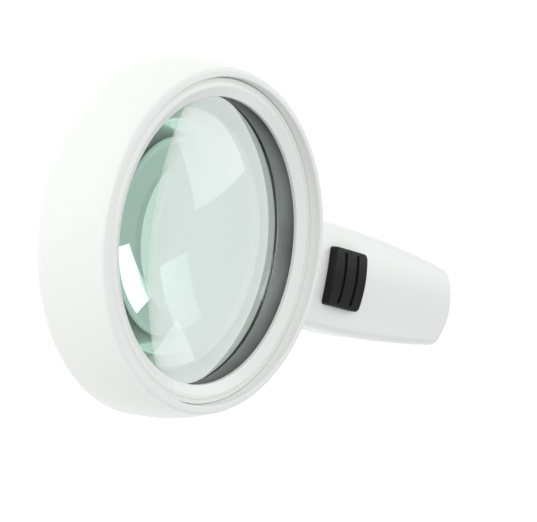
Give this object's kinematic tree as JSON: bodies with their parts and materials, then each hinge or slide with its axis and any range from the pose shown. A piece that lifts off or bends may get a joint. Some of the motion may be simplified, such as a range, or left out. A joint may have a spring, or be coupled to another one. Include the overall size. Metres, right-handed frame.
{
  "type": "low vision magnifier",
  "caption": "Hand-held illuminated magnifier: thick white ring with a deeply recessed glass lens, tapering battery handle, ribbed black slide switch and sliding battery door.",
  "frame": {"origin": "on the lens axis, in the plane of the rear rim that the magnifier rests on", "axes": "+Z along the lens axis towards the user, +X along the handle away from the lens, +Y across the handle"},
  "size_m": [0.2044, 0.114, 0.0291],
  "materials": {
    "white_plastic": "satin moulded",
    "black_plastic": "fine satin",
    "lens_glass": "polished, faintly green",
    "clear_plastic": "clear moulded",
    "rubber": "matt",
    "board_green": "solder mask",
    "diode_white": "glossy",
    "resistor_black": "matt",
    "grey_plastic": "matt moulded",
    "cell_wrap": "printed sleeve without text",
    "plated_steel": "nickel plated",
    "screw_steel": "zinc plated",
    "wire_red": "PVC sleeve",
    "wire_black": "PVC sleeve",
    "wire_blue": "PVC sleeve"
  },
  "bodies": {
    "body": {"housing": "white_plastic", "front_bezel": "white_plastic", "rear_cover": "white_plastic", "lens": "lens_glass", "lens_gasket": "rubber", "lens_retainer": "black_plastic", "lens_barrel": "white_plastic", "led_board": "board_green", "leds": "diode_white", "led_resistors": "resistor_black", "light_window": "clear_plastic", "battery_tray": "grey_plastic", "battery_cell_1": "cell_wrap", "battery_cell_2": "cell_wrap", "contact_springs": "plated_steel", "contact_plates": "plated_steel", "bridge_contact": "plated_steel", "switch_body": "grey_plastic", "switch_terminals": "plated_steel", "switch_board": "board_green", "led_board_screws": "screw_steel", "cover_screws": "screw_steel", "switch_board_screws": "screw_steel", "wire_positive": "wire_red", "wire_switched": "wire_blue", "wire_negative": "wire_black"},
    "switch_slide": {"switch_knob": "black_plastic", "switch_carriage": "grey_plastic", "switch_lever": "black_plastic"},
    "battery_door": {"battery_door": "white_plastic"}
  },
  "joints": [
    {"name": "switch_travel", "type": "slide", "parent": "body", "child": "switch_slide", "axis": [-1, 0, 0], "range_m": [0, 0.003]},
    {"name": "door_travel", "type": "slide", "parent": "body", "child": "battery_door", "axis": [1, 0, 0], "range_m": [0, 0.058]}
  ]
}
